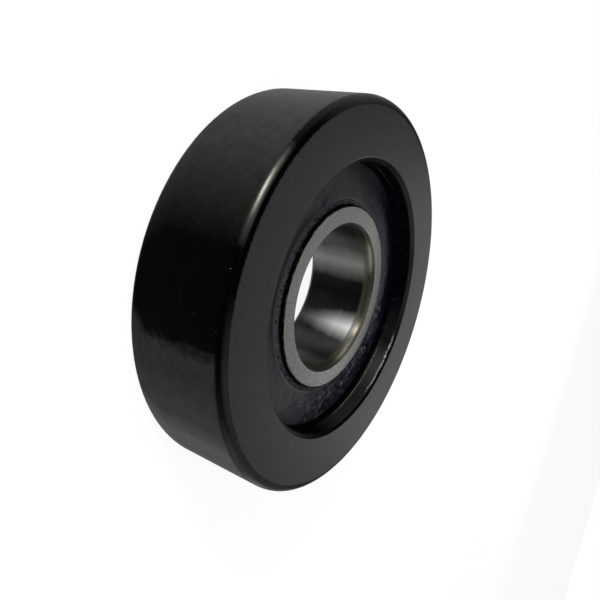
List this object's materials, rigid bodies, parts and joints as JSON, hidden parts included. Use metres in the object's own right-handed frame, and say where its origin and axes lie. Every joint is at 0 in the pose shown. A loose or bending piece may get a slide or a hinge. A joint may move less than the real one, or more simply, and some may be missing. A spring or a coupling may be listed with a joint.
{
  "type": "mast roller bearing",
  "caption": "Mast roller bearing: a sealed deep-groove ball bearing with a thick, black outer ring that rolls, a deep front recess and a plain bore.",
  "frame": {"origin": "centre of the outer ring's back face, on the bearing's axis", "axes": "+Z along the bearing's axis, from the back face to the recessed front face; the balls start on +X"},
  "size_m": [0.12, 0.12, 0.031],
  "materials": {
    "ring_black": "satin black oxide on ground steel",
    "ring_ground": "ground face and honed bore, with a straw tint on the bore's corner",
    "ball_steel": "polished",
    "cage_sheet": "pressed sheet",
    "rivet_steel": "plain",
    "washer_sheet": "phosphated sheet",
    "seal_rubber": "matt black, a little greasy"
  },
  "bodies": {
    "inner_ring": {"inner_ring": "ring_ground"},
    "roller": {"outer_ring": "ring_black", "seal_rubber_front": "seal_rubber", "seal_rubber_back": "seal_rubber", "seal_washer_front": "washer_sheet", "seal_washer_back": "washer_sheet"},
    "cage": {"cage_front": "cage_sheet", "cage_back": "cage_sheet", "cage_rivets": "rivet_steel"},
    "ball_1": {"ball_1": "ball_steel"},
    "ball_2": {"ball_2": "ball_steel"},
    "ball_3": {"ball_3": "ball_steel"},
    "ball_4": {"ball_4": "ball_steel"},
    "ball_5": {"ball_5": "ball_steel"},
    "ball_6": {"ball_6": "ball_steel"},
    "ball_7": {"ball_7": "ball_steel"},
    "ball_8": {"ball_8": "ball_steel"}
  },
  "joints": [
    {"name": "roller_spin", "type": "hinge", "parent": "inner_ring", "child": "roller", "pos_m": [0, 0, 0.013], "axis": [0, 0, 1], "continuous": true},
    {"name": "cage_turn", "type": "hinge", "parent": "inner_ring", "child": "cage", "pos_m": [0, 0, 0.013], "axis": [0, 0, 1], "continuous": true},
    {"name": "ball_1_spin", "type": "hinge", "parent": "cage", "child": "ball_1", "pos_m": [0.03624, 0, 0.013], "axis": [0, 0, 1], "continuous": true},
    {"name": "ball_2_spin", "type": "hinge", "parent": "cage", "child": "ball_2", "pos_m": [0.02562, 0.02562, 0.013], "axis": [0, 0, 1], "continuous": true},
    {"name": "ball_3_spin", "type": "hinge", "parent": "cage", "child": "ball_3", "pos_m": [0, 0.03624, 0.013], "axis": [0, 0, 1], "continuous": true},
    {"name": "ball_4_spin", "type": "hinge", "parent": "cage", "child": "ball_4", "pos_m": [-0.02562, 0.02562, 0.013], "axis": [0, 0, 1], "continuous": true},
    {"name": "ball_5_spin", "type": "hinge", "parent": "cage", "child": "ball_5", "pos_m": [-0.03624, 0, 0.013], "axis": [0, 0, 1], "continuous": true},
    {"name": "ball_6_spin", "type": "hinge", "parent": "cage", "child": "ball_6", "pos_m": [-0.02562, -0.02562, 0.013], "axis": [0, 0, 1], "continuous": true},
    {"name": "ball_7_spin", "type": "hinge", "parent": "cage", "child": "ball_7", "pos_m": [0, -0.03624, 0.013], "axis": [0, 0, 1], "continuous": true},
    {"name": "ball_8_spin", "type": "hinge", "parent": "cage", "child": "ball_8", "pos_m": [0.02562, -0.02562, 0.013], "axis": [0, 0, 1], "continuous": true}
  ],
  "couplings": [
    {"joint": "cage_turn", "follows": "roller_spin", "ratio": 0.60952},
    {"joint": "ball_1_spin", "follows": "roller_spin", "ratio": 2.1732},
    {"joint": "ball_2_spin", "follows": "roller_spin", "ratio": 2.1732},
    {"joint": "ball_3_spin", "follows": "roller_spin", "ratio": 2.1732},
    {"joint": "ball_4_spin", "follows": "roller_spin", "ratio": 2.1732},
    {"joint": "ball_5_spin", "follows": "roller_spin", "ratio": 2.1732},
    {"joint": "ball_6_spin", "follows": "roller_spin", "ratio": 2.1732},
    {"joint": "ball_7_spin", "follows": "roller_spin", "ratio": 2.1732},
    {"joint": "ball_8_spin", "follows": "roller_spin", "ratio": 2.1732}
  ]
}
